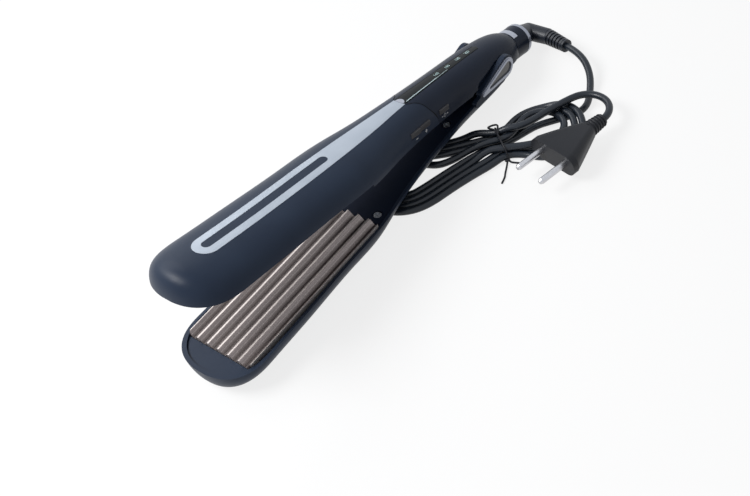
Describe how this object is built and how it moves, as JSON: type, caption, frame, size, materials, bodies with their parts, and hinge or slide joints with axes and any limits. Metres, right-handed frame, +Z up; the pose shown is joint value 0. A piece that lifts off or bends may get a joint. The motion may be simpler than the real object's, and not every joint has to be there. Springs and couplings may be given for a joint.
{
  "type": "hair waver",
  "caption": "Hair waver with two hinged arms, corrugated crimping plates, side buttons, display strip, swivel elbow boot and tied cord.",
  "frame": {"origin": "centre of the iron's bounding box at floor level (cord, hank, tie and plug not counted)", "axes": "+X from the tips to the cord end, +Z up, the lower arm lying flat and the buttons on the -Y side"},
  "size_m": [0.3302, 0.1271, 0.0851],
  "materials": {
    "shell": "satin soft-touch, blue-black",
    "cover": "satin navy",
    "plate": "champagne ceramic coat",
    "silver": "pale silver-blue satin paint",
    "bright": "satin chrome",
    "steel": "plain",
    "lens": "gloss black",
    "black": "matte black",
    "cream": "heat-resistant moulding",
    "board": "circuit board",
    "wire": "silicone",
    "cord": "smooth black sheath",
    "elastic": "soft moulded boot"
  },
  "bodies": {
    "handle_arm": {"front_shell": "shell", "rear_shell": "shell", "silver_inlay": "silver", "window_lens": "lens", "window_tip": "bright", "upper_cover": "cover", "upper_plate": "plate", "upper_heater": "cream", "upper_tray": "cream", "upper_fuse": "steel", "upper_screws": "steel", "upper_wires": "wire", "lead_wires": "wire", "control_board": "board", "tact_switches": "black", "display_module": "black", "hinge_pin": "steel", "torsion_spring": "steel", "swivel_cuff": "shell", "cuff_ring": "bright", "cuff_badge": "bright", "swivel_retainer": "steel", "cord_lead": "cord", "cord_hank": "cord", "twist_tie": "black", "plug_body": "black", "plug_pins": "steel"},
    "lower_arm": {"lower_shell": "shell", "lower_cover": "cover", "lower_plate": "plate", "lower_heater": "cream", "lower_tray": "cream", "lower_fuse": "steel", "lower_screws": "steel", "lower_wires": "wire", "trim_near": "bright", "trim_far": "bright", "insert_near": "black", "insert_far": "black"},
    "swivel_boot": {"elbow_boot": "elastic"},
    "minus_key": {"minus_button": "black"},
    "plus_key": {"plus_button": "black"},
    "power_key": {"power_button": "black"}
  },
  "joints": [
    {"name": "arm_hinge", "type": "hinge", "parent": "handle_arm", "child": "lower_arm", "pos_m": [0.1086, 0.0032, 0.0215], "axis": [0, 1, 0], "range_deg": [0, 11.2], "stiffness_Nm_per_rad": 0.6, "springref_deg": -28.65},
    {"name": "cord_swivel", "type": "hinge", "parent": "handle_arm", "child": "swivel_boot", "pos_m": [0.14633, 0.0032, 0.01128], "axis": [-0.981, 0, 0.1942], "continuous": true, "deforming": ["cord_lead"]},
    {"name": "minus_press", "type": "slide", "parent": "handle_arm", "child": "minus_key", "axis": [0, 1, 0], "range_m": [0, 0.0006], "stiffness_N_per_m": 900, "springref_m": -0.0012},
    {"name": "plus_press", "type": "slide", "parent": "handle_arm", "child": "plus_key", "axis": [0, 1, 0], "range_m": [0, 0.0006], "stiffness_N_per_m": 900, "springref_m": -0.0012},
    {"name": "power_press", "type": "slide", "parent": "handle_arm", "child": "power_key", "axis": [0, 1, 0], "range_m": [0, 0.0006], "stiffness_N_per_m": 900, "springref_m": -0.0012}
  ]
}
